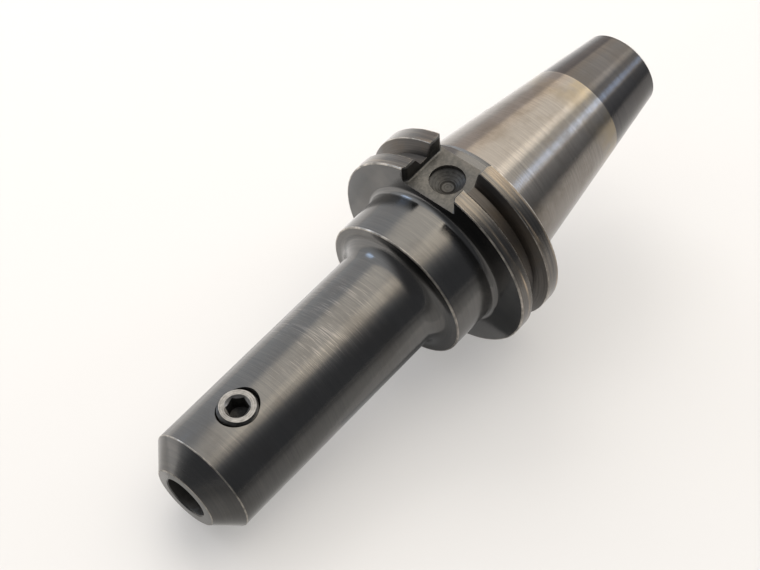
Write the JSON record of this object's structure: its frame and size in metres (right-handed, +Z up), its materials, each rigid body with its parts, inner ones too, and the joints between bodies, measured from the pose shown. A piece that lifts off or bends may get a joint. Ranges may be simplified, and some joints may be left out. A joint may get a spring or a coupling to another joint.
{
  "type": "side lock end mill holder",
  "caption": "Steep taper tool holder with a V-flange, drive slots and a long nose; a side set screw clamps an end mill shank in its bore.",
  "frame": {"origin": "middle of the taper's gauge circle, the 44.45 mm circle that seats at the spindle's face", "axes": "+Z up from the table it lies on; the holder's axis lies in the XZ plane, nose towards +X and 9.02 degrees down, because it rests on the corners of its lower drive slot and on its nose; the clamp screw faces up, square to the holder's axis"},
  "size_m": [0.1867, 0.0636, 0.0627],
  "materials": {
    "black_oxide_steel": "dark oxide on turned steel, with a bright ground band on the taper and polished flange lands",
    "bright_screw_steel": "bright machined screw face with a dark socket and thread"
  },
  "bodies": {
    "holder": {"holder_body": "black_oxide_steel"},
    "screw": {"clamp_screw": "bright_screw_steel"}
  },
  "joints": [
    {"name": "clamp_screw_travel", "type": "slide", "parent": "holder", "child": "screw", "axis": [0.1567, 0, 0.9876], "range_m": [-0.00508, 0.00762]}
  ]
}
